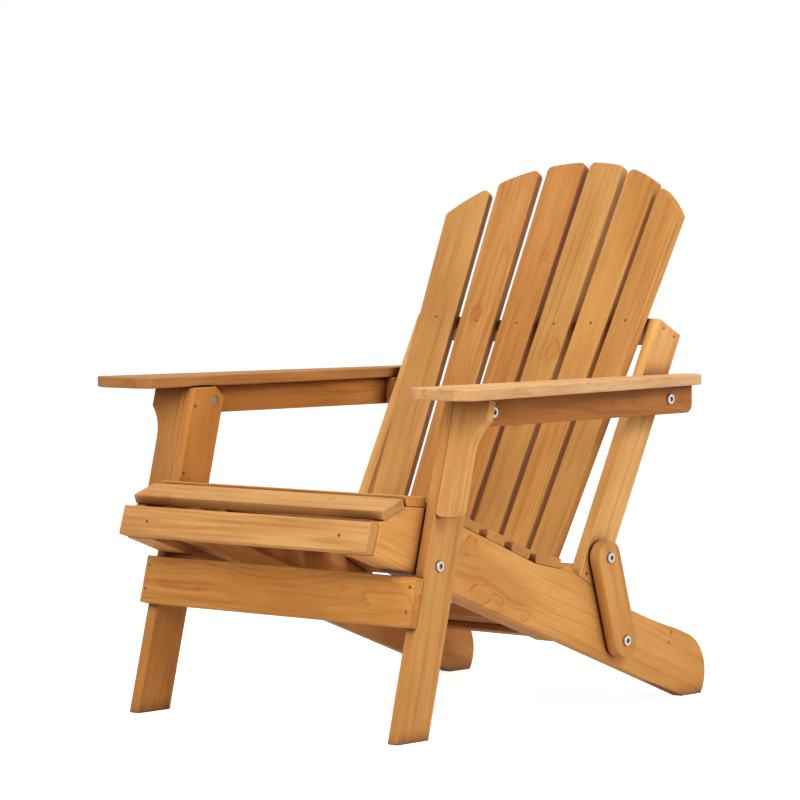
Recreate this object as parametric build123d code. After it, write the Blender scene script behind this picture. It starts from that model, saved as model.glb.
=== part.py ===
from build123d import *
from math import asin, atan2, cos, degrees, hypot, radians, sin, sqrt, tan
import os

# Folding wooden garden chair. X is across, the chair faces -Y, Z is up. Left is the sitter's left, +X.
# Everything is drawn with y = 0 at the front edge of the front feet and moved to the middle at the end.

# driving dimensions, millimetres and degrees
seat_width = 508.0  # across the outer faces of the side boards
board_thickness = 20.0
slat_thickness = 15.8
running_gap = 3.5  # between boards that turn past each other
edge_radius = 1.5

leg_lean = 14.4
leg_width = 67.1
leg_pivot_height = 269.3  # up the front edge of the leg
leg_pivot_depth = 27.5  # in from that edge
arm_pivot_height = 505.6
arm_pivot_depth = 47.4
stretcher_height = 73.7
stretcher_rise = 171.0
stretcher_screw_rises = (21.3, 58.2)

side_board_depth = 101.0
side_board_reach = 652.0  # from the leg pivot back to the middle of the rounded rear end
side_board_nose = 118.0  # from the leg pivot forward to the front end
side_board_pivot = 22.2  # leg pivot above the lower edge
rear_round = 66.0
rear_round_height = 36.0  # middle of the rounded end above the floor
rear_round_rise = 34.5  # the same middle above the lower edge
toe_rise = 2.4  # what the lower edge has gained by the floor
back_seat_reach = 378.3  # from the leg pivot back to the middle of the foot of the back
back_seat_length = 42.7  # of the level behind that middle
hollow_end_lead = 35.0  # end of the shallow hollow behind the back, ahead of the rounded rear end
hollow_middle_behind = 124.0  # behind the foot of the back
hollow_drop = 5.5
seat_end_lead = 77.8  # rear edge of the last seat slat, ahead of the foot of the back
seat_dip = 4.7  # the top edge has sunk this much at the last slat
last_slat_lift = 9.3  # and rises again under it
step_lead = 49.5  # top of the step behind it
step_foot_lead = 53.3
step_rise = 21.2
seat_slat_width = 44.5
last_slat_gap = 17.719  # between the sixth and the last seat slat
last_slat_width = 60.5
first_slat_width = 48.0
first_slat_overhang = 2.8  # less than the running gap, for the legs to pass
second_slat_width = 43.0
apron_height = 46.0
apron_lift = 1.2  # above the lower front corner of the side boards
nose_height = 49.9
nose_lean = 3.4
nose_slope_reach = 44.0
nose_slope_drop = 11.5
facet_reach = 86.5
third_slat_reach = 107.5
batten_narrow = 36.0  # of its lower part
batten_wide = 64.0
batten_step = 14.5
batten_height = 42.0
batten_end = 467.0
cross_rail_lead = 56.5  # ahead of the middle of the rounded rear end
cross_rail_height = 35.0
tie_board_width = 46.0
tie_board_low = 75.0
link_foot_behind = 90.1  # behind the foot of the back
link_foot_rise = 40.2

back_recline = 27.5
back_width = 60.7  # of a back post, front to rear
post_length = 443.0
link_pivot_rise = 45.0  # link pivot above the foot of the post
link_width = 52.5
back_curve = 1040.0  # radius of the hollow of the back
slat_low = 60.0  # width of a back slat near the seat
slat_high = 73.2  # and near its top
slat_middles_low = (35.5, 106.8, 178.0)
slat_middles_high = (41.9, 129.2, 213.2)
slat_corner = 10.0
arch_radius = 330.0
arch_middle = 399.0  # its centre, up the back from the foot of the posts

arm_thickness = 16.8
arm_outer = 389.0
arm_inner = 265.7
arm_rear_outer = 309.0
arm_front_overhang = 143.5  # ahead of the front arm pivot
arm_length = 670.5
rail_height = 44.0
rail_above_pivot = 22.6
rail_above_rear_pivot = 20.6
rail_tail = 61.0  # behind the rear arm pivot
leg_below_rail = 1.1
leg_corner_spare = 0.5
rail_splay = 2.34
bracket_thickness = 15.0
bracket_reach = 68.0
bracket_neck = 46.0  # width of its lower part
bracket_drop = 177.0
bracket_corner_drop = 31.0  # the outer edge curves in below this
bracket_curve = (52.0, 54.0)  # a point of that curve, outwards and down
bracket_neck_drop = 82.0
bracket_screw_drops = (28.0, 135.0)

bolt_radius = 4.0
bolt_head_radius = 8.0
bolt_socket_radius = 4.2
screw_radius = 2.0
screw_head_radius = 3.0
end_margin = 8.0  # of the stretcher screws

half = seat_width / 2
inner = half - board_thickness
swing_in = half + running_gap  # inner face of the legs and links
swing_out = swing_in + board_thickness
lean = radians(leg_lean)
recline = radians(back_recline)


def leg(along, across):
    # front edge upwards, then rearwards across the leg
    return (
        along * sin(lean) + across * cos(lean),
        along * cos(lean) - across * sin(lean),
    )


pivot_y, pivot_z = leg(leg_pivot_height, leg_pivot_depth)
round_above_pivot = rear_round_rise - side_board_pivot
pitch = asin((pivot_z - rear_round_height) / hypot(side_board_reach, round_above_pivot))
pitch = pitch + atan2(round_above_pivot, side_board_reach)
rear_u = side_board_nose + side_board_reach


def seat(u, v):
    # u runs down the lower edge of the side board from its front end, v stands up from that edge
    du = u - side_board_nose
    dv = v - side_board_pivot
    return (
        pivot_y + du * cos(pitch) + dv * sin(pitch),
        pivot_z - du * sin(pitch) + dv * cos(pitch),
    )


foot_u = side_board_nose + back_seat_reach
foot_v = side_board_depth + 4.0
foot_y, foot_z = seat(foot_u, foot_v)
notch_fall = tan(recline - pitch)


def back(along, ahead):
    # up the middle of the post from its foot, then forwards
    return (
        foot_y + along * sin(recline) - ahead * cos(recline),
        foot_z + along * cos(recline) + ahead * sin(recline),
    )


arm_y, arm_z = leg(arm_pivot_height, arm_pivot_depth)
rail_top = arm_z + rail_above_pivot
rail_bottom = rail_top - rail_height
rear_arm_z = rail_top - rail_above_rear_pivot
rear_arm_s = (rear_arm_z - foot_z) / cos(recline)
rear_arm_y, rear_arm_z = back(rear_arm_s, 0)
link_top_y, link_top_z = back(link_pivot_rise, 0)
link_foot_y, link_foot_z = seat(foot_u + link_foot_behind, link_foot_rise)

parts = {}


def across_board(face, x_start, x_end):
    return extrude(Plane.YZ.offset(x_start) * face, x_end - x_start)


def polygon(*points):
    return make_face(Polyline(*points, close=True).edges())


def nearest(face, y, z):
    return min(face.vertices(), key=lambda corner: hypot(corner.X - y, corner.Y - z))


def rounded(face, point, radius):
    return fillet(nearest(face, *point), radius)


def soften(shape, radius=edge_radius):
    return fillet(shape.edges(), radius)


def mirrored(shape):
    return mirror(shape, about=Plane.YZ)


def rod(y, z, x_start, x_end, radius):
    return extrude(Plane.YZ.offset(x_start) * Pos(y, z) * Circle(radius), x_end - x_start)


def screw(origin, direction, length):
    # countersunk, with a cross recess, driven along direction from a point on the surface
    place = Plane(origin=origin, z_dir=direction).location
    head = Cone(screw_head_radius, screw_radius, 3, align=(Align.CENTER, Align.CENTER, Align.MIN))
    shank = Cylinder(screw_radius, length, align=(Align.CENTER, Align.CENTER, Align.MIN))
    slot = Box(3.4, 0.8, 1.2, align=(Align.CENTER, Align.CENTER, Align.MIN))
    return place * (head + shank - slot - Rot(Z=90) * slot)


def screw_hole(origin, direction, length):
    place = Plane(origin=origin, z_dir=direction).location
    head = Cone(screw_head_radius, screw_radius, 3, align=(Align.CENTER, Align.CENTER, Align.MIN))
    shank = Cylinder(screw_radius, length, align=(Align.CENTER, Align.CENTER, Align.MIN))
    return place * (head + shank)


def bolt(y, z, x_face, x_tip):
    # pan head with a hex socket outside x_face, shank inwards to x_tip
    head = rod(y, z, x_face, x_face + 3, bolt_head_radius)
    head = fillet(head.edges().group_by(Axis.X)[-1], 1.2)
    socket = extrude(
        Plane.YZ.offset(x_face + 0.4) * Pos(y, z) * RegularPolygon(bolt_socket_radius, 6), 2.6
    )
    return head + rod(y, z, x_tip, x_face, bolt_radius) - socket


def flush_nut(y, z, x_start, x_end):
    return rod(y, z, x_start, x_end, bolt_head_radius) - rod(y, z, x_start, x_end, bolt_radius)


# ---- side boards of the seat
toe_u = side_board_nose + (pivot_z + (toe_rise - side_board_pivot) * cos(pitch)) / sin(pitch)


def above_edge(u, up):
    # like seat, but up from the lower edge itself, which rises a little towards the floor
    return seat(u, toe_rise * u / toe_u + up)


nose_top = seat(-nose_lean, nose_height)
chamfer_top = seat(nose_slope_reach, side_board_depth - nose_slope_drop)
facet_end = seat(facet_reach, side_board_depth)
last_slat_end = foot_u - seat_end_lead
dip_u = last_slat_end - last_slat_width * cos(asin(last_slat_lift / last_slat_width))
sixth_slat_reach = dip_u - last_slat_gap - seat_slat_width
seat_slat_pitch = (sixth_slat_reach - third_slat_reach) / 3
dip = seat(dip_u, side_board_depth - seat_dip)
last_slat_foot = seat(last_slat_end, side_board_depth - seat_dip + last_slat_lift)
floor_corner_u = foot_u - step_foot_lead
floor_corner = seat(floor_corner_u, foot_v - (floor_corner_u - foot_u) * notch_fall)
floor_end = seat(foot_u + back_seat_length, foot_v - back_seat_length * notch_fall)
hollow_middle = seat(foot_u + hollow_middle_behind, side_board_depth - hollow_drop)
hollow_end = seat(rear_u - hollow_end_lead, side_board_depth - 0.6)
rear_y, rear_z = seat(rear_u, rear_round_rise)
rear_top = seat(rear_u, rear_round_rise + rear_round)
rear_foot_y = rear_y + sqrt(rear_round**2 - rear_z**2)
sweep = radians(20)
rear_mid = (rear_y + rear_round * cos(sweep), rear_z + rear_round * sin(sweep))
side_outline = make_face([
    *Polyline(
        above_edge(toe_u, 0),
        seat(0, 0),
        nose_top,
        chamfer_top,
        facet_end,
        dip,
        last_slat_foot,
        seat(foot_u - step_lead, side_board_depth + step_rise),
        floor_corner,
        floor_end,
    ).edges(),
    ThreePointArc(floor_end, hollow_middle, hollow_end),
    *Polyline(hollow_end, rear_top).edges(),
    ThreePointArc(rear_top, rear_mid, (rear_foot_y, 0)),
    *Polyline((rear_foot_y, 0), above_edge(toe_u, 0)).edges(),
])
side_outline = rounded(side_outline, floor_corner, 6.0)
side_board = soften(across_board(side_outline, inner, half))

# ---- seat slats across the side boards
seat_slats = []
slope_one = atan2(chamfer_top[1] - nose_top[1], chamfer_top[0] - nose_top[0])
slope_two = atan2(facet_end[1] - chamfer_top[1], facet_end[0] - chamfer_top[0])
slope_rest = atan2(dip[1] - facet_end[1], dip[0] - facet_end[0])
slope_last = atan2(last_slat_foot[1] - dip[1], last_slat_foot[0] - dip[0])


def seat_slat(corner, slope, width, overhang=0):
    y, z = corner
    run = (cos(slope), sin(slope))
    rise = (-sin(slope), cos(slope))
    face = polygon(
        (y, z),
        (y + width * run[0], z + width * run[1]),
        (y + width * run[0] + slat_thickness * rise[0], z + width * run[1] + slat_thickness * rise[1]),
        (y + slat_thickness * rise[0], z + slat_thickness * rise[1]),
    )
    return soften(across_board(face, -half - overhang, half + overhang), 2.0)


lead = 7.5
first_corner = (nose_top[0] + lead * cos(slope_one), nose_top[1] + lead * sin(slope_one))
seat_slats.append(seat_slat(first_corner, slope_one, first_slat_width, first_slat_overhang))
seat_slats.append(seat_slat(chamfer_top, slope_two, second_slat_width))
for number in range(4):
    slat_u = third_slat_reach + number * seat_slat_pitch
    sunk = seat_dip * (slat_u - facet_reach) / (dip_u - facet_reach)
    seat_slats.append(seat_slat(seat(slat_u, side_board_depth - sunk), slope_rest, seat_slat_width))
seat_slats.append(seat_slat(dip, slope_last, last_slat_width))

# ---- apron across the front ends of the side boards
nose_foot = seat(0, 0)
nose_slope = atan2(nose_top[1] - nose_foot[1], nose_top[0] - nose_foot[0])
up = (cos(nose_slope), sin(nose_slope))
out = (-sin(nose_slope), cos(nose_slope))
apron_foot = (nose_foot[0] + apron_lift * up[0], nose_foot[1] + apron_lift * up[1])
apron_face = polygon(
    apron_foot,
    (apron_foot[0] + apron_height * up[0], apron_foot[1] + apron_height * up[1]),
    (apron_foot[0] + apron_height * up[0] + board_thickness * out[0],
     apron_foot[1] + apron_height * up[1] + board_thickness * out[1]),
    (apron_foot[0] + board_thickness * out[0], apron_foot[1] + board_thickness * out[1]),
)
apron = soften(across_board(apron_face, -half, half), 2.0)

# ---- rebated battens along the side boards, tie board and cross rail behind the seat
nose_fall = nose_lean / nose_height


def batten_part(low, high, width):
    face = polygon(
        above_edge(0.5 - nose_fall * low, low),
        above_edge(batten_end, low),
        above_edge(batten_end, high),
        above_edge(0.5 - nose_fall * high, high),
    )
    return across_board(face, inner - width, inner)


batten = batten_part(0.3, batten_step, batten_narrow) + batten_part(batten_step, batten_height, batten_wide)
batten = soften(batten, 1.2)
cross_u = rear_u - cross_rail_lead
cross_high = side_board_depth - 2
cross_face = polygon(
    seat(cross_u, cross_high - cross_rail_height),
    seat(cross_u + board_thickness, cross_high - cross_rail_height),
    seat(cross_u + board_thickness, cross_high),
    seat(cross_u, cross_high),
)
tie_face = polygon(
    seat(cross_u - tie_board_width, tie_board_low),
    seat(cross_u, tie_board_low),
    seat(cross_u, tie_board_low + board_thickness),
    seat(cross_u - tie_board_width, tie_board_low + board_thickness),
)
tie_board = soften(across_board(tie_face, -inner, inner))
cross_rail = soften(across_board(cross_face, -inner, inner))

# ---- front legs, stretcher and arm brackets
leg_top = rail_top - leg_below_rail
leg_top_front = (leg_top * tan(lean), leg_top)
corner_radius = leg_top - arm_z + leg_corner_spare
turn_start = (arm_y + sqrt(corner_radius**2 - (leg_top - arm_z) ** 2), leg_top)
edge_reach = leg_width - arm_pivot_depth
turn_end = leg(arm_pivot_height + sqrt(corner_radius**2 - edge_reach**2), leg_width)
leg_face = polygon(turn_end, (leg_width / cos(lean), 0), (0, 0), leg_top_front, turn_start)
front_leg = soften(across_board(leg_face, swing_in, swing_out))

stretcher_face = polygon(
    leg(stretcher_rise, 0),
    leg(stretcher_rise + stretcher_height, 0),
    leg(stretcher_rise + stretcher_height, -board_thickness),
    leg(stretcher_rise, -board_thickness),
)
stretcher = soften(across_board(stretcher_face, -swing_out, swing_out), 2.0)

bracket_top = leg_top / cos(lean)
bracket_plane = Plane(origin=(swing_out, 0, 0), x_dir=(1, 0, 0), z_dir=(0, -cos(lean), sin(lean)))
bracket_low = bracket_top - bracket_drop
bracket_corner = (bracket_reach, bracket_top - bracket_corner_drop)
bracket_waist = (bracket_neck, bracket_top - bracket_neck_drop)
bracket_face = make_face([
    *Polyline(bracket_waist, (bracket_neck, bracket_low), (0, bracket_low), (0, bracket_top),
              (bracket_reach, bracket_top), bracket_corner).edges(),
    ThreePointArc(bracket_corner, (bracket_curve[0], bracket_top - bracket_curve[1]), bracket_waist),
])
bracket_face = rounded(bracket_face, (0, bracket_low), 8.0)
bracket_face = rounded(bracket_face, (bracket_neck, bracket_low), 12.0)
bracket = soften(extrude(bracket_plane * bracket_face, -bracket_thickness), 1.2)

# ---- links between the side boards and the back posts
link_slope = atan2(link_top_z - link_foot_z, link_top_y - link_foot_y)
link_length = hypot(link_top_z - link_foot_z, link_top_y - link_foot_y)
link_face = (
    Pos((link_top_y + link_foot_y) / 2, (link_top_z + link_foot_z) / 2)
    * Rot(Z=degrees(link_slope))
    * SlotCenterToCenter(link_length, link_width)
)
link = soften(across_board(link_face, swing_in, swing_out))

# ---- back posts, braces and slats
post_face = polygon(
    back(0, back_width / 2),
    back(post_length, back_width / 2),
    back(post_length, -back_width / 2),
    back(0, -back_width / 2),
)
post = soften(across_board(post_face, inner, half))

slat_front = 25.6  # front of the middle of the back, ahead of the middle of the posts
brace_hollow = slat_front - slat_thickness - 0.2
hollow_half = sqrt(2 * back_curve * (back_width / 2 - brace_hollow))


def brace(along):
    plane = Plane(origin=(0, *back(along, 0)), x_dir=(1, 0, 0), z_dir=(0, sin(recline), cos(recline)))
    edges = [
        *Polyline((hollow_half, -back_width / 2), (inner, -back_width / 2), (inner, back_width / 2),
                  (-inner, back_width / 2), (-inner, -back_width / 2), (-hollow_half, -back_width / 2)).edges(),
        ThreePointArc((-hollow_half, -back_width / 2), (0, -brace_hollow), (hollow_half, -back_width / 2)),
    ]
    return soften(extrude(plane * make_face(edges), board_thickness))


upper_brace = brace(post_length - board_thickness)
lower_brace = brace(0)

low_s = 107.0
high_s = 671.0


def back_slat(middle_low, middle_high):
    middle = (middle_low + middle_high) / 2
    tilt = asin(middle / back_curve)
    ahead = slat_front + back_curve * (1 - cos(tilt))
    plane = Plane(
        origin=(middle, *back(0, ahead)),
        x_dir=(cos(tilt), -sin(tilt) * cos(recline), sin(tilt) * sin(recline)),
        z_dir=(-sin(tilt), -cos(tilt) * cos(recline), cos(tilt) * sin(recline)),
    )

    def edge(along, side):
        share = (along - low_s) / (high_s - low_s)
        centre = middle_low + (middle_high - middle_low) * share - middle
        return centre + side * (slat_low + (slat_high - slat_low) * share) / 2

    def top(side):
        along = high_s
        for _ in range(20):
            along = arch_middle + sqrt(arch_radius**2 - (middle + edge(along, side)) ** 2)
        return (edge(along, side), along)

    crown = (edge(high_s, 0), arch_middle + sqrt(arch_radius**2 - (middle + edge(high_s, 0)) ** 2))
    face = make_face([
        *Polyline(top(-1), (edge(0, -1), 0), (edge(0, 1), 0), top(1)).edges(),
        ThreePointArc(top(1), crown, top(-1)),
    ])
    face = rounded(face, top(1), slat_corner)
    face = rounded(face, top(-1), slat_corner)
    return plane, soften(extrude(plane * face, -slat_thickness), 2.0)


# ---- arm rails, blocks and boards
splay = tan(radians(rail_splay))


def rail_inside(y):
    return swing_out - 0.4 + (rear_arm_y - y) * splay


rail_front = arm_y - 24.5
rail_rear = rear_arm_y + rail_tail


def plan_block(y_start, y_end, inside, outside, low, high):
    face = polygon((inside(y_start), y_start), (outside(y_start), y_start),
                   (outside(y_end), y_end), (inside(y_end), y_end))
    return extrude(Plane.XY.offset(low) * face, high - low)


def rail_outside(y):
    return rail_inside(y) + board_thickness / cos(radians(rail_splay))


rail = plan_block(rail_front, rail_rear, rail_inside, rail_outside, rail_bottom, rail_top)
rail_side = polygon((rail_front, rail_bottom), (rail_rear, rail_bottom), (rail_rear, rail_top), (rail_front, rail_top))
rail_side = rounded(rail_side, (rail_rear, rail_bottom), 14.0)
rail_side = rounded(rail_side, (rail_front, rail_bottom), 12.0)
rail = rail & across_board(rail_side, half, arm_outer)
rail = soften(rail)
rear_block = plan_block(rear_arm_y - 24, rear_arm_y + 24, lambda y: half + running_gap, rail_inside,
                        rail_bottom, rail_top)
rear_block = soften(rear_block, 1.0)
front_block = plan_block(arm_y - 20, arm_y + 20, lambda y: swing_out + running_gap, rail_inside,
                         rail_bottom + 4, rail_top)
front_block = soften(front_block, 1.0)

arm_front = arm_y - arm_front_overhang
arm_rear = arm_front + arm_length
arm_face = make_face([
    *Polyline((arm_rear_outer - 8, arm_rear), (arm_inner, arm_rear), (arm_inner, arm_front + 12),
              (arm_inner + 21, arm_front), (arm_outer - 27, arm_front), (arm_outer, arm_front + 15),
              (arm_rear_outer + 3, arm_rear - 22)).edges(),
    ThreePointArc((arm_rear_outer + 3, arm_rear - 22), (arm_rear_outer - 0.5, arm_rear - 9),
                  (arm_rear_outer - 8, arm_rear)),
])
arm_board = soften(extrude(Plane.XY.offset(rail_top) * arm_face, arm_thickness), 2.5)

# ---- pivot bolts and nuts
slip = 0.3
leg_bolt = bolt(pivot_y, pivot_z, swing_out + slip, inner + 1)
leg_nut = flush_nut(pivot_y, pivot_z, inner + 1, inner + 7)
link_foot_bolt = bolt(link_foot_y, link_foot_z, swing_out + slip, inner + 1)
link_foot_nut = flush_nut(link_foot_y, link_foot_z, inner + 1, inner + 7)
link_top_bolt = bolt(link_top_y, link_top_z, swing_out + slip, inner + 1)
link_top_nut = flush_nut(link_top_y, link_top_z, inner + 1, inner + 7)
arm_front_face = rail_outside(arm_y) + bolt_head_radius * splay
arm_rear_face = rail_outside(rear_arm_y) + bolt_head_radius * splay
arm_front_bolt = bolt(arm_y, arm_z, arm_front_face, swing_in + 1)
arm_front_nut = flush_nut(arm_y, arm_z, swing_in + 1, swing_in + 7)
arm_rear_bolt = bolt(rear_arm_y, rear_arm_z, arm_rear_face, swing_in)
arm_rear_barrel = rod(rear_arm_y, rear_arm_z, inner + 1, half, bolt_radius + 1)

# ---- holes: tight where a bolt is held, open where a piece turns on it
turning = bolt_radius + 0.05


def counterbore(y, z, face):
    return rod(y, z, face, face + 7, bolt_head_radius)


side_board = side_board - rod(pivot_y, pivot_z, inner, half, bolt_radius) - counterbore(pivot_y, pivot_z, inner)
side_board = side_board - rod(link_foot_y, link_foot_z, inner, half, bolt_radius)
side_board = side_board - counterbore(link_foot_y, link_foot_z, inner)
front_leg = front_leg - rod(pivot_y, pivot_z, swing_in, swing_out, turning)
front_leg = front_leg - rod(arm_y, arm_z, swing_in, swing_out, turning)
front_leg = front_leg - rod(arm_y, arm_z, swing_in, swing_in + 7 + slip, bolt_head_radius + slip)
link = link - rod(link_top_y, link_top_z, swing_in, swing_out, turning)
link = link - rod(link_foot_y, link_foot_z, swing_in, swing_out, turning)
post = post - rod(link_top_y, link_top_z, inner, half, bolt_radius)
post = post - counterbore(link_top_y, link_top_z, inner)
post = post - rod(rear_arm_y, rear_arm_z, inner, half, bolt_radius + 1)
rail = rail - rod(arm_y, arm_z, half, arm_outer, bolt_radius)
rail = rail - rod(rear_arm_y, rear_arm_z, half, arm_outer, bolt_radius)
front_block = front_block - rod(arm_y, arm_z, half, arm_outer, bolt_radius)
rear_block = rear_block - rod(rear_arm_y, rear_arm_z, half, arm_outer, bolt_radius)

# ---- screws, each with the boards it passes through
apron_middle = (apron_foot[0] + apron_height / 2 * up[0] + board_thickness * out[0],
                apron_foot[1] + apron_height / 2 * up[1] + board_thickness * out[1])
apron_line = ((inner - batten_narrow, *apron_middle), (0, -out[0], -out[1]), 45)
rail_u = cross_u + board_thickness / 2
cross_lines = [((half, *seat(rail_u, v)), (-1, 0, 0), 45) for v in (cross_high - 25, cross_high - 8)]
stretcher_lines = [
    ((swing_out - end_margin, *leg(stretcher_rise + rise, -board_thickness)), (0, cos(lean), -sin(lean)), 45)
    for rise in stretcher_screw_rises
]
bracket_lines = [
    ((swing_in, *leg(bracket_top - drop, bracket_thickness / 2)), (1, 0, 0), 40) for drop in bracket_screw_drops
]
upper_lines = [
    ((half, *back(post_length - board_thickness / 2, ahead)), (-1, 0, 0), 45) for ahead in (14.5, -14.5)
]
lower_lines = [((half, *back(board_thickness / 2, ahead)), (-1, 0, 0), 45) for ahead in (14.5, -14.5)]


def flip(line):
    (x, y, z), (dx, dy, dz), length = line
    return ((-x, y, z), (-dx, dy, dz), length)


def both(lines):
    return lines + [flip(line) for line in lines]


def drill(shape, lines):
    for line in lines:
        shape = shape - screw_hole(*line)
    return shape


def screws(lines):
    return Compound([screw(*line) for line in lines])


apron = drill(apron, both([apron_line]))
batten = drill(batten, [apron_line])
side_board = drill(side_board, cross_lines)
cross_rail = drill(cross_rail, both(cross_lines))
stretcher = drill(stretcher, both(stretcher_lines))
front_leg = drill(front_leg, stretcher_lines + bracket_lines)
bracket = drill(bracket, bracket_lines)
post = drill(post, upper_lines + lower_lines)

back_slats = []
slat_lines = []
for side in (1, -1):
    for middle_low, middle_high in zip(slat_middles_low, slat_middles_high):
        plane, slat = back_slat(middle_low, middle_high)
        lines = []
        for along in (post_length - 11.5, board_thickness / 2):
            share = (along - low_s) / (high_s - low_s)
            offset = (middle_high - middle_low) * (share - 0.5)
            origin = plane.from_local_coords(Vector(offset, along, 0))
            direction = plane.z_dir * -1
            lines.append(((origin.X, origin.Y, origin.Z), (direction.X, direction.Y, direction.Z), 32))
        upper_brace = upper_brace - (slat if side > 0 else mirrored(slat))
        lower_brace = lower_brace - (slat if side > 0 else mirrored(slat))
        slat = drill(slat, lines)
        if side < 0:
            slat = mirrored(slat)
            lines = [flip(line) for line in lines]
        back_slats.append((middle_high * side, slat))
        slat_lines.extend(lines)
upper_brace = drill(upper_brace, both(upper_lines) + slat_lines[0::2])
lower_brace = drill(lower_brace, both(lower_lines) + slat_lines[1::2])
back_slats.sort(key=lambda pair: pair[0])

# ---- the nodes
paired = {
    "side_board": side_board,
    "seat_batten": batten,
    "front_leg": front_leg,
    "arm_bracket": bracket,
    "link": link,
    "back_post": post,
    "arm_rail": rail,
    "arm_rear_block": rear_block,
    "arm_front_block": front_block,
    "arm_board": arm_board,
    "arm_front_bolt": arm_front_bolt,
    "arm_front_nut": arm_front_nut,
    "arm_rear_bolt": arm_rear_bolt,
}
for name, shape in paired.items():
    parts[name + "_left"] = shape
    parts[name + "_right"] = mirrored(shape)
for number, shape in enumerate(seat_slats, 1):
    parts["seat_slat_%d" % number] = shape
for number, (_, shape) in enumerate(back_slats, 1):
    parts["back_slat_%d" % number] = shape
parts["seat_apron"] = apron
parts["rear_cross_rail"] = cross_rail
parts["rear_tie_board"] = tie_board
parts["front_stretcher"] = stretcher
parts["upper_brace"] = upper_brace
parts["lower_brace"] = lower_brace


def pairs(*shapes):
    return Compound([piece for shape in shapes for piece in (shape, mirrored(shape))])


parts["seat_pivot_bolts"] = pairs(leg_bolt, link_foot_bolt)
parts["seat_pivot_nuts"] = pairs(leg_nut, link_foot_nut)
parts["back_pivot_bolts"] = pairs(link_top_bolt)
parts["back_pivot_nuts"] = pairs(link_top_nut)
parts["back_barrels"] = pairs(arm_rear_barrel)
parts["apron_screws"] = screws(both([apron_line]))
parts["cross_rail_screws"] = screws(both(cross_lines))
parts["stretcher_screws"] = screws(both(stretcher_lines))
parts["bracket_screws"] = screws(both(bracket_lines))
parts["brace_screws"] = screws(both(upper_lines) + both(lower_lines))
parts["back_slat_screws"] = screws(slat_lines)

# ---- middle of the whole chair to the origin, then write
boxes = [shape.bounding_box() for shape in parts.values()]
shift = -(min(box.min.Y for box in boxes) + max(box.max.Y for box in boxes)) / 2
os.makedirs("parts", exist_ok=True)
for name, shape in parts.items():
    export_step(Pos(0, shift, 0) * shape, "parts/%s.step" % name)
print("shift in y", round(shift, 3))
for label, point in (
    ("leg_pivot", (pivot_y, pivot_z)),
    ("arm_pivot", (arm_y, arm_z)),
    ("rear_arm_pivot", (rear_arm_y, rear_arm_z)),
    ("link_top", (link_top_y, link_top_z)),
    ("link_foot", (link_foot_y, link_foot_z)),
):
    print(label, round(point[0] + shift, 3), round(point[1], 3))
print("overall z", min(box.min.Z for box in boxes), max(box.max.Z for box in boxes))
print("pitch", round(degrees(pitch), 2))
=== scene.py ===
from math import cos, radians, sin

import bpy
from mathutils import Matrix, Vector


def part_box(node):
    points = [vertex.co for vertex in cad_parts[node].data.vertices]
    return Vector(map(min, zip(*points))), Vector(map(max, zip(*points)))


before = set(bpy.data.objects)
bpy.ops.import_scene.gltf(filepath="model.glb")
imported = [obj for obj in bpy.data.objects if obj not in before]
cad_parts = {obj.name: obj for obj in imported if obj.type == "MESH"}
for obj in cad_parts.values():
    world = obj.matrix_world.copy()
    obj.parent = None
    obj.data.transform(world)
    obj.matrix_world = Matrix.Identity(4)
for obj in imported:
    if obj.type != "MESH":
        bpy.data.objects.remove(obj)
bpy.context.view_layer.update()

# ---- Side boards of the seat
# Two long softwood boards, band-sawn to a curve and rounded over with a small router bit. They are brushed
# with a honey stain that leaves the growth rings, fibres and a few knots visible. It soaks in at the end
# grain, and shade in the seams and gaps is painted into the colour.
seat_fall = radians(20.6)
down_the_seat = Vector((0, cos(seat_fall), -sin(seat_fall)))
up_from_seat = Vector((0, sin(seat_fall), cos(seat_fall)))
across = Vector((1, 0, 0))
honey = (0.69, 0.327, 0.106)


def open_group(name, taken, given):
    """A new node group, the sockets that it takes its values from, and those that it gives back."""
    tree = bpy.data.node_groups.new(name, "ShaderNodeTree")
    for direction, sockets in (("INPUT", taken), ("OUTPUT", given)):
        for socket, kind in sockets.items():
            tree.interface.new_socket(socket, in_out=direction, socket_type="NodeSocket" + kind)
    return tree, tree.nodes.new("NodeGroupInput").outputs, tree.nodes.new("NodeGroupOutput").inputs


def feed(tree, socket, value):
    if isinstance(value, bpy.types.NodeSocket):
        tree.links.new(value, socket)
    else:
        socket.default_value = value


def use_group(tree, group, values):
    node = tree.nodes.new("ShaderNodeGroup")
    node.node_tree = group
    for name, value in values.items():
        feed(tree, node.inputs[name], value)
    return node.outputs


def calc(tree, operation, first, second=0.0, third=0.0, clamp=False):
    node = tree.nodes.new("ShaderNodeMath")
    node.operation = operation
    node.use_clamp = clamp
    for socket, value in zip(node.inputs, (first, second, third)):
        feed(tree, socket, value)
    return node.outputs[0]


def vector_calc(tree, operation, first, second=(0, 0, 0)):
    node = tree.nodes.new("ShaderNodeVectorMath")
    node.operation = operation
    feed(tree, node.inputs[0], first)
    feed(tree, node.inputs["Scale" if operation == "SCALE" else 1], second)
    return node.outputs["Value" if operation in ("DOT_PRODUCT", "LENGTH") else "Vector"]


def streaks(tree, place, stretch, scatter, detail=3.0, roughness=0.55):
    # noise drawn out along the grain; stretch is in repeats a metre along, across and through the board
    node = tree.nodes.new("ShaderNodeTexNoise")
    node.noise_dimensions = "4D"
    feed(tree, node.inputs["Vector"], vector_calc(tree, "MULTIPLY", place, stretch))
    feed(tree, node.inputs["W"], scatter)
    node.inputs["Scale"].default_value = 1.0
    node.inputs["Detail"].default_value = detail
    node.inputs["Roughness"].default_value = roughness
    return node.outputs


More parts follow.
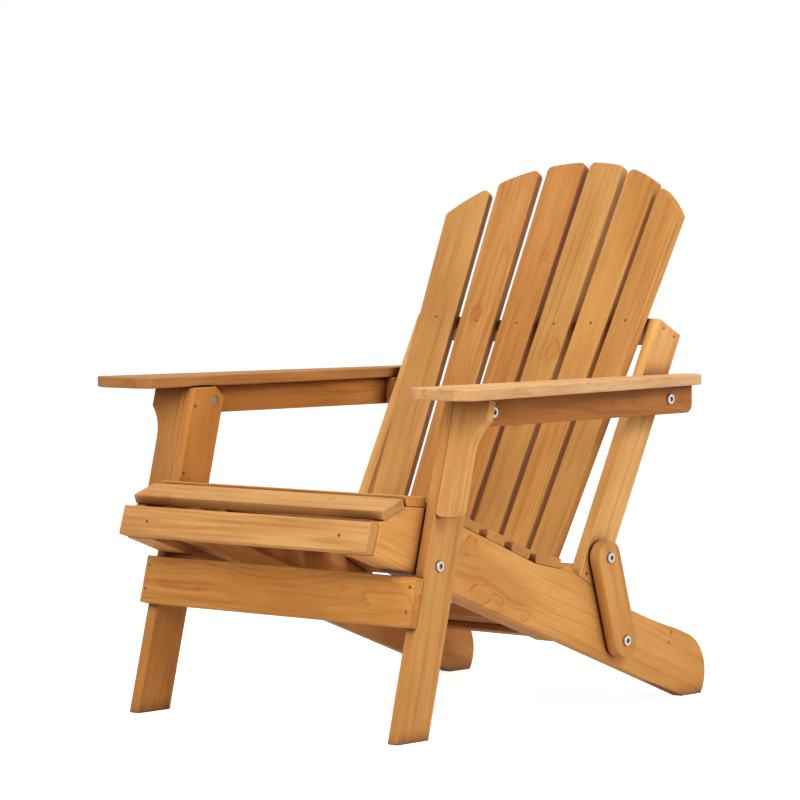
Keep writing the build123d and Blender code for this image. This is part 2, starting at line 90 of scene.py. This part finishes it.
def band(tree, value, low, high, start=0.0, end=1.0):
    # runs softly from start to end while the value goes from low to high
    node = tree.nodes.new("ShaderNodeMapRange")
    node.interpolation_type = "SMOOTHSTEP"
    for socket, number in zip(node.inputs, (value, low, high, start, end)):
        feed(tree, socket, number)
    return node.outputs[0]


def tint(tree, share, first, second, blend="MIX"):
    node = tree.nodes.new("ShaderNodeMix")
    node.data_type = "RGBA"
    node.blend_type = blend
    feed(tree, node.inputs["Factor"], share)
    feed(tree, node.inputs["A"], first)
    feed(tree, node.inputs["B"], second)
    return node.outputs["Result"]


def darken_towards(tree, color, share, dark):
    # the colour goes towards colour times dark where the share is 1
    return tint(tree, share, color, tint(tree, 1.0, color, (*dark, 1), "MULTIPLY"))


def painted_shade_near(tree, distance, start, end):
    # 0 on an open surface, nearing 1 in corners and in gaps narrower than the distance; it masks painted
    # shade
    near = tree.nodes.new("ShaderNodeAmbientOcclusion")
    near.samples = 6
    near.inputs["Distance"].default_value = distance
    return band(tree, near.outputs["AO"], start, end)


def make_knot():
    tree, given, result = open_group(
        "grain around a knot",
        {"Place": "Vector", "Centre": "Vector", "Radius": "Float"},
        {"Place": "Vector", "Heart": "Float", "Rim": "Float", "Halo": "Float"},
    )
    # how far out a point is, in knot radii, on an oval with a wavering edge
    away = vector_calc(tree, "SUBTRACT", given["Place"], given["Centre"])
    oval = vector_calc(tree, "MULTIPLY", away, (0.75, 1.0, 0.25))
    wobble = streaks(tree, given["Place"], (26, 44, 44), 3.0, 0.0)
    reach = calc(tree, "DIVIDE", vector_calc(tree, "LENGTH", oval), given["Radius"])
    reach = calc(tree, "ADD", reach, calc(tree, "MULTIPLY_ADD", wobble["Fac"], 1.6, -0.8))
    # the grain outside bends round the knot
    push = calc(tree, "DIVIDE", 0.85, calc(tree, "MAXIMUM", calc(tree, "POWER", reach, 2.0), 0.7))
    bend = vector_calc(tree, "SCALE", vector_calc(tree, "MULTIPLY", away, (0, -1, 0)), push)
    feed(tree, result["Place"], vector_calc(tree, "ADD", given["Place"], bend))
    # the rings inside the knot, then the broken dark bark line around it and the darker wood outside
    rings = calc(tree, "FRACT", calc(tree, "MULTIPLY", reach, 3.6))
    inside = band(tree, reach, 1.0, 0.86)
    feed(tree, result["Heart"], calc(tree, "MULTIPLY", inside, band(tree, rings, 0.45, 0.95, 0.0, 0.8)))
    bark = calc(tree, "MULTIPLY", band(tree, reach, 0.85, 0.98), band(tree, reach, 1.12, 1.0))
    patchy = streaks(tree, given["Place"], (60, 60, 60), 8.0, 2.0)
    feed(tree, result["Rim"], calc(tree, "MULTIPLY", bark, band(tree, patchy["Fac"], 0.44, 0.56)))
    feed(tree, result["Halo"], band(tree, reach, 2.4, 1.0))
    return tree


def make_softwood():
    tree, given, result = open_group(
        "stained softwood grain",
        {
            "Place": "Vector",
            "Stain and painted light": "Color",
            "Heart": "Vector",
            "Ring": "Float",
            "Wander": "Float",
            "Contrast": "Float",
            "Scatter": "Float",
            "End grain": "Float",
            "Knot": "Float",
            "Knot rim": "Float",
            "Knot halo": "Float",
            "Painted gap shade": "Float",
            "Seam": "Float",
        },
        {"Color": "Color", "Roughness": "Float", "Height": "Float"},
    )
    place = given["Place"]
    scatter = given["Scatter"]
    # growth rings: distance from the heart of the log, which drifts and flutters along the board
    half = (0.5, 0.5, 0.5)
    drift = streaks(tree, place, (1.9, 6, 6), scatter, 2.0)
    flutter = streaks(tree, place, (9, 40, 40), scatter, 3.0)
    small = vector_calc(tree, "SCALE", vector_calc(tree, "SUBTRACT", flutter["Color"], half), 0.1)
    sway = vector_calc(tree, "ADD", vector_calc(tree, "SUBTRACT", drift["Color"], half), small)
    log = vector_calc(tree, "ADD", place, vector_calc(tree, "SCALE", sway, given["Wander"]))
    log = vector_calc(tree, "MULTIPLY", vector_calc(tree, "SUBTRACT", log, given["Heart"]), (0, 1, 1))
    turns = calc(tree, "DIVIDE", vector_calc(tree, "LENGTH", log), given["Ring"])
    # good and bad years: rings of uneven width and strength, fading in places along the board
    years = tree.nodes.new("ShaderNodeTexNoise")
    years.noise_dimensions = "1D"
    years.inputs["Scale"].default_value = 1.0
    feed(tree, years.inputs["W"], calc(tree, "ADD", calc(tree, "MULTIPLY", turns, 0.31), scatter))
    turns = calc(tree, "ADD", turns, calc(tree, "MULTIPLY", years.outputs["Fac"], 2.2))
    phase = calc(tree, "FRACT", turns)
    late = calc(tree, "MULTIPLY", band(tree, phase, 0.35, 0.9), band(tree, phase, 1.0, 0.93))
    late = calc(tree, "MULTIPLY", late, band(tree, years.outputs["Fac"], 0.35, 0.68, 0.2, 1.0))
    faint = streaks(tree, place, (3, 22, 22), scatter, 2.0)
    late = calc(tree, "MULTIPLY", late, band(tree, faint["Fac"], 0.34, 0.62, 0.15, 1.0))
    late = calc(tree, "MULTIPLY", late, given["Contrast"], clamp=True)
    # the stain itself: cloudy, with darker veins and short dark flecks along the fibres, and darker
    # at knots and at the end grain; in the gaps and seams between boards painted shade darkens it
    cloud = streaks(tree, place, (3.5, 14, 14), scatter, 3.0)
    vein = streaks(tree, place, (4, 120, 120), scatter, 3.0)
    fibre = streaks(tree, place, (14, 520, 520), scatter, 4.0, 0.65)
    fleck = streaks(tree, place, (55, 900, 900), scatter, 1.0)
    color = given["Stain and painted light"]
    for share, dark in (
        (band(tree, cloud["Fac"], 0.64, 0.34), (0.82, 0.74, 0.62)),
        (band(tree, vein["Fac"], 0.46, 0.74, 0.0, 0.9), (0.77, 0.67, 0.54)),
        (late, (0.56, 0.41, 0.28)),
        (band(tree, fibre["Fac"], 0.7, 0.25, 0.0, 0.55), (0.80, 0.73, 0.62)),
        (band(tree, fleck["Fac"], 0.66, 0.78, 0.0, 0.5), (0.62, 0.52, 0.42)),
        (calc(tree, "MULTIPLY", given["Knot halo"], 0.35), (0.92, 0.74, 0.50)),
        (calc(tree, "MULTIPLY", given["Knot"], 0.7), (0.86, 0.64, 0.40)),
        (calc(tree, "MULTIPLY", given["Knot rim"], 0.7), (0.52, 0.35, 0.21)),
        (calc(tree, "MULTIPLY", given["End grain"], 0.35), (0.80, 0.70, 0.56)),
        # the last two paint shade into the colour: broadly in gaps and under parts, and tightly along the
        # seams
        (given["Painted gap shade"], (0.22, 0.10, 0.03)),
        (given["Seam"], (0.30, 0.17, 0.09)),
    ):
        color = darken_towards(tree, color, share, dark)
    feed(tree, result["Color"], color)
    feed(tree, result["Roughness"], band(tree, fibre["Fac"], 0.2, 0.8, 0.54, 0.72))
    raised = calc(tree, "MULTIPLY", fibre["Fac"], 0.6)
    feed(tree, result["Height"], calc(tree, "SUBTRACT", raised, calc(tree, "MULTIPLY", late, 0.45)))
    return tree


knot_group = make_knot()
softwood = make_softwood()
boards_made = []  # each new board takes its own stretch of the grain pattern


def stain(node, along, face, tone_and_painted_light=(1, 1, 1), heart=(0, 0, -0.05), ring=0.0034, wander=0.03,
          contrast=0.42, knots=()):
    """Stained softwood on one board, with painted shade in its gaps and seams.

    along is its grain and face the normal of its broad face. heart is the middle of the log and each knot
    a centre and a radius, both measured from the middle of the board: along it, across it, and out of its
    face. ring is the width of one year's growth. The tone multiplies the honey stain, and on some boards it
    also paints light or shade onto the wood, as said where they are stained.
    """
    along = along.normalized()
    face = (face - along * face.dot(along)).normalized()
    low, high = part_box(node)
    material = bpy.data.materials.new("stained softwood " + node.replace("_", " "))
    material.use_nodes = True
    tree = material.node_tree
    where = tree.nodes.new("ShaderNodeTexCoord").outputs
    lay = tree.nodes.new("ShaderNodeMapping")
    lay.vector_type = "TEXTURE"
    lay.inputs["Location"].default_value = (Vector(low) + Vector(high)) / 2
    lay.inputs["Rotation"].default_value = Matrix((along, face.cross(along), face)).transposed().to_euler()
    feed(tree, lay.inputs["Vector"], where["Object"])
    place = lay.outputs["Vector"]
    masks = {"Heart": 0.0, "Rim": 0.0, "Halo": 0.0}
    for centre, radius in knots:
        knot = use_group(tree, knot_group, {"Place": place, "Centre": centre, "Radius": radius})
        place = knot["Place"]
        masks = {name: calc(tree, "MAXIMUM", mask, knot[name]) for name, mask in masks.items()}
    ends = calc(tree, "ABSOLUTE", vector_calc(tree, "DOT_PRODUCT", where["Normal"], along))
    grain = use_group(tree, softwood, {
        "Place": place,
        "Stain and painted light": [share * part for share, part in zip(honey, tone_and_painted_light)] + [1],
        "Heart": heart,
        "Ring": ring,
        "Wander": wander,
        "Contrast": contrast,
        "Scatter": 2.7 * len(boards_made),
        "End grain": band(tree, ends, 0.55, 0.95),
        "Knot": masks["Heart"],
        "Knot rim": masks["Rim"],
        "Knot halo": masks["Halo"],
        # painted shade near other surfaces: within 4 cm, and within 6 mm along the seams
        "Painted gap shade": painted_shade_near(tree, 0.04, 0.82, 0.35),
        "Seam": painted_shade_near(tree, 0.006, 0.8, 0.4),
    })
    bump = tree.nodes.new("ShaderNodeBump")
    bump.inputs["Strength"].default_value = 0.35
    bump.inputs["Distance"].default_value = 0.0004
    feed(tree, bump.inputs["Height"], grain["Height"])
    shader = tree.nodes["Principled BSDF"]
    shader.inputs["Specular IOR Level"].default_value = 0.2
    feed(tree, shader.inputs["Base Color"], grain["Color"])
    feed(tree, shader.inputs["Roughness"], grain["Roughness"])
    feed(tree, shader.inputs["Normal"], bump.outputs["Normal"])
    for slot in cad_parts[node].material_slots:
        slot.material = material
    boards_made.append(node)


stain(
    "side_board_left", down_the_seat, across, (1.17, 1.22, 1.05), heart=(0, 0.03, -0.045), contrast=0.36,
    knots=(
        ((-0.165, -0.03, 0.01), 0.016),
        ((-0.207, 0.03, 0.01), 0.014),
        ((-0.119, -0.031, 0.01), 0.009),
        ((-0.049, -0.03, 0.01), 0.007),
    ),
)
# the far side board is made lighter, partly as painted light where little light reaches under the seat
stain(
    "side_board_right", down_the_seat, across, (1.18, 1.16, 1.05), heart=(0, -0.03, -0.06),
    knots=(((0.12, 0.01, -0.01), 0.01),),
)

# ---- Seat slats
# Seven softwood slats lie across the side boards. The first sits on the sawn-off front corner, the others
# follow the curved top edge, and the last one is wider.
stain(
    "seat_slat_1", across, up_from_seat, (0.94, 1.08, 1.17), heart=(0, 0.03, -0.035),
    knots=(
        ((-0.222, -0.024, -0.005), 0.007),
        ((-0.187, -0.024, -0.008), 0.006),
        ((0.13, 0.003, 0.008), 0.005),
    ),
)
# the planks differ a little in tone, and every other one has a knot
for number in range(2, 8):
    shade = 0.97 + 0.05 * (number % 3)
    knots = (((0.19 - 0.07 * number, 0.004, 0.007), 0.006),) if number % 2 else ()
    stain(
        "seat_slat_%d" % number, across, up_from_seat, (shade, shade * 1.04, shade),
        heart=(0, 0.012 * number - 0.05, -0.03), knots=knots,
    )

# ---- Apron, cross rail, tie board and battens
# The apron closes the seat's front. An upright rail and a flat board in front of it tie the side boards
# together at the back, and a rebated batten runs along the inside of each side board.
stain("seat_apron", across, down_the_seat, (1.03, 1.12, 1.17), heart=(0, 0.01, -0.06))
stain("rear_cross_rail", across, down_the_seat)
stain("rear_tie_board", across, up_from_seat)
for side in ("left", "right"):
    stain("seat_batten_" + side, down_the_seat, across)

# ---- Front frame
# Two legs lean back, joined by a broad stretcher that is screwed across their front edges. A bracket, sawn
# to a curve from the same wood, stands out from each leg under the arm.
leg_lean = radians(14.4)
up_the_leg = Vector((0, sin(leg_lean), cos(leg_lean)))
leg_front = Vector((0, -cos(leg_lean), sin(leg_lean)))
leg_heart = (0, 0.02, -0.05)
bracket_heart = (0, 0.02, -0.03)
stain(
    "front_leg_left", up_the_leg, across, (0.96, 0.98, 0.86), heart=leg_heart,
    knots=(((0.19, 0.012, 0.01), 0.006),),
)
# the far leg is darker and more orange, partly its own wood and partly painted shade, as less light reaches
# it
stain(
    "front_leg_right", up_the_leg, across, (0.91, 0.83, 0.63), heart=leg_heart,
    knots=(((-0.05, 0.01, 0.01), 0.008),),
)
stain("arm_bracket_left", up_the_leg, leg_front, (1.15, 1.30, 1.38), heart=bracket_heart)
# the far bracket is darkened partly with painted shade from the arm above it
stain("arm_bracket_right", up_the_leg, leg_front, (0.86, 0.81, 0.70), heart=bracket_heart)
# the stretcher is cut near the heart of its log, so its rings are broad and wander
stain(
    "front_stretcher", across, leg_front, (0.98, 0.93, 0.66), heart=(0, 0.004, -0.022), ring=0.0065,
    wander=0.13, contrast=0.6, knots=(((0.135, 0.012, 0.01), 0.006),),
)

# ---- Arms
# A wide tapered board lies on a rail that is bolted to the leg and the back post, with a block on the
# inside of the rail at each bolt. Each board and rail comes from a different plank, lighter or redder;
# besides, the left board's pale tone is partly a painted sheen on its top, the left rail is darkened with
# painted shade under its arm, and the right board, on the far side, with painted shade.
back_along = Vector((0, 1, 0))
upward = Vector((0, 0, 1))
for side, board_tone_and_painted_light, rail_tone_and_painted_shade in (
    ("left", (1.14, 1.42, 2.1), (0.68, 0.53, 0.27)),
    ("right", (0.77, 0.77, 0.78), (0.93, 0.90, 0.72)),
):
    stain(
        "arm_board_" + side, back_along, upward, board_tone_and_painted_light, heart=(0, 0.02, -0.04),
        knots=(((0.06, 0.01, 0.008), 0.006),),
    )
    stain("arm_rail_" + side, back_along, across, rail_tone_and_painted_shade)
    stain("arm_rear_block_" + side, back_along, across)
    stain("arm_front_block_" + side, back_along, across)

# ---- Links
# A softwood link with round ends, bolted to the side board and to the back post on each side, carries the
# back when the chair folds. Its grain runs from bolt to bolt.
link_width = 0.0525
link_low, link_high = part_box("link_left")
link_run = Vector((0, link_low[1] - link_high[1] + link_width, link_high[2] - link_low[2] - link_width))
for side in ("left", "right"):
    stain("link_" + side, link_run, across, (1.05, 1.07, 0.89), heart=(0, 0.03, -0.05))

# ---- Back
# Two posts with two hollowed braces between them carry six slats, which widen and fan out to an arched top.
# The slats come from different planks: some are plain, some show strong rings or a knot or two.
recline = radians(27.5)
up_the_back = Vector((0, sin(recline), cos(recline)))
back_front = Vector((0, -cos(recline), sin(recline)))
fan = 0.022  # how much further each slat leans out than the one before it
for side in ("left", "right"):
    stain("back_post_" + side, up_the_back, across, (1.26, 1.47, 1.54))
for brace in ("upper_brace", "lower_brace"):
    stain(brace, across, up_the_back)
slat_looks = (
    ((0.83, 0.90, 0.84), (0, 0.05, -0.05), 0.16, ()),
    (
        (0.84, 0.84, 0.74), (0, -0.02, -0.03), 0.5,
        (((0.09, 0.002, 0.007), 0.008), ((-0.03, 0.012, 0.007), 0.005)),
    ),
    (
        (0.83, 0.78, 0.65), (0, 0.004, -0.013), 0.85,
        (((0.19, -0.02, 0.007), 0.006), ((-0.19, 0.0, 0.007), 0.007)),
    ),
    (
        (0.88, 0.94, 0.84), (0, 0.03, -0.045), 0.4,
        (((0.02, -0.012, 0.007), 0.012), ((-0.1, 0.01, 0.007), 0.009)),
    ),
    ((0.93, 0.96, 0.81), (0, -0.05, -0.05), 0.34, ()),
    ((0.95, 1.0, 0.86), (0, 0.05, -0.03), 0.34, ()),
)
middle_slat = (1 + len(slat_looks)) / 2
for number, (tone_and_painted_light, heart, contrast, knots) in enumerate(slat_looks, 1):
    up_the_slat = up_the_back + across * (number - middle_slat) * fan
    stain(
        "back_slat_%d" % number, up_the_slat, back_front, tone_and_painted_light, heart=heart, contrast=contrast, knots=knots
    )

# ---- Bolts, nuts and screws
# Zinc-plated bolts with flat round heads and a hex socket go through the legs, links and arms into flush
# nuts and barrels. The wood screws are dark, and their small heads are driven flush with the stained faces.


def metal(name, color, roughness, nodes):
    material = bpy.data.materials.new(name)
    material.use_nodes = True
    tree = material.node_tree
    where = tree.nodes.new("ShaderNodeTexCoord").outputs
    patch = streaks(tree, where["Object"], (260, 260, 260), 1.0, 3.0)["Fac"]
    dull = [0.55 * part for part in color]
    plate = tint(tree, band(tree, patch, 0.35, 0.7, 0.0, 0.45), (*color, 1), (*dull, 1))
    shader = tree.nodes["Principled BSDF"]
    shader.inputs["Metallic"].default_value = 1.0
    # painted shade in the hex sockets and the other small hollows
    painted_socket_shade = painted_shade_near(tree, 0.005, 0.85, 0.35)
    feed(tree, shader.inputs["Base Color"], darken_towards(tree, plate, painted_socket_shade, (0.08, 0.07, 0.06)))
    feed(tree, shader.inputs["Roughness"], band(tree, patch, 0.3, 0.7, roughness - 0.08, roughness + 0.1))
    for node in nodes:
        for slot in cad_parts[node].material_slots:
            slot.material = material


fixings = [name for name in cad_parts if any(word in name for word in ("bolt", "nut", "barrel"))]
screws = [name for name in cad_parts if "screw" in name]
metal("zinc plated steel", (0.52, 0.51, 0.49), 0.32, fixings)
metal("dark screw steel", (0.34, 0.18, 0.08), 0.55, screws)

# ---- Floor, light and camera
# A matt pale floor that runs out of sight and keeps the chair's shadow, in a white room with four round
# softboxes and a long lens. Floor and room look white, also in reflections, and light the chair softly.
floor_reach = 30.0
corners = [(x * floor_reach, y * floor_reach, 0) for x, y in ((-1, -1), (1, -1), (1, 1), (-1, 1))]
floor_mesh = bpy.data.meshes.new("floor")
floor_mesh.from_pydata(corners, [], [(0, 1, 2, 3)])
floor = bpy.data.objects.new("floor", floor_mesh)
bpy.context.collection.objects.link(floor)


def seen_or_mirrored(tree):
    # 1 for what is seen straight, in a reflection or through glass, 0 for the light that reaches the chair
    ray = tree.nodes.new("ShaderNodeLightPath").outputs
    seen = calc(tree, "MAXIMUM", ray["Is Camera Ray"], ray["Is Glossy Ray"])
    return calc(tree, "MAXIMUM", seen, ray["Is Transmission Ray"])


paper = bpy.data.materials.new("white studio floor")
paper.use_nodes = True
tree = paper.node_tree
tree.nodes.clear()
matt = tree.nodes.new("ShaderNodeBsdfDiffuse")
matt.inputs["Color"].default_value = (0.7, 0.7, 0.7, 1)
glow = tree.nodes.new("ShaderNodeEmission")
feed(tree, glow.inputs["Strength"], calc(tree, "MULTIPLY", seen_or_mirrored(tree), 0.8))
both = tree.nodes.new("ShaderNodeAddShader")
feed(tree, both.inputs[0], matt.outputs[0])
feed(tree, both.inputs[1], glow.outputs[0])
out = tree.nodes.new("ShaderNodeOutputMaterial")
feed(tree, out.inputs["Surface"], both.outputs[0])
floor_mesh.materials.append(paper)

world = bpy.data.worlds.new("white studio")
bpy.context.scene.world = world
world.use_nodes = True
tree = world.node_tree
room = tree.nodes["Background"]
room.inputs["Color"].default_value = (1, 1, 1, 1)
feed(tree, room.inputs["Strength"], calc(tree, "MULTIPLY_ADD", seen_or_mirrored(tree), 0.6, 0.4))


def softbox(name, place, aim, size, power):
    lamp = bpy.data.lights.new(name, "AREA")
    lamp.shape = "DISK"
    lamp.size = size
    lamp.energy = power
    holder = bpy.data.objects.new(name, lamp)
    bpy.context.collection.objects.link(holder)
    holder.location = place
    holder.rotation_euler = (Vector(aim) - Vector(place)).to_track_quat("-Z", "Y").to_euler()


softbox("overhead softbox", (0.3, -0.6, 3.1), (0, 0, 0.3), 2.0, 34)
softbox("front softbox", (0.9, -3.3, 2.1), (0, 0, 0.4), 1.5, 52)
softbox("side softbox", (3.1, -0.7, 2.3), (0, 0, 0.4), 1.4, 44)
softbox("rear softbox", (1.6, 2.7, 1.2), (0, 0, 0.3), 1.4, 18)

lens = bpy.data.cameras.new("camera")
lens.lens = 162.42
lens.sensor_width = 36.0
camera = bpy.data.objects.new("camera", lens)
bpy.context.collection.objects.link(camera)
camera.location = (3.7246, -4.2649, 0.7487)
yaw = Matrix.Rotation(radians(41.53), 3, "Z")
tilt = Matrix.Rotation(radians(90 - 2.73), 3, "X")
roll = Matrix.Rotation(radians(-0.13), 3, "Z")
camera.rotation_euler = (yaw @ tilt @ roll).to_euler()
bpy.context.scene.camera = camera
bpy.context.scene.view_settings.view_transform = "Standard"
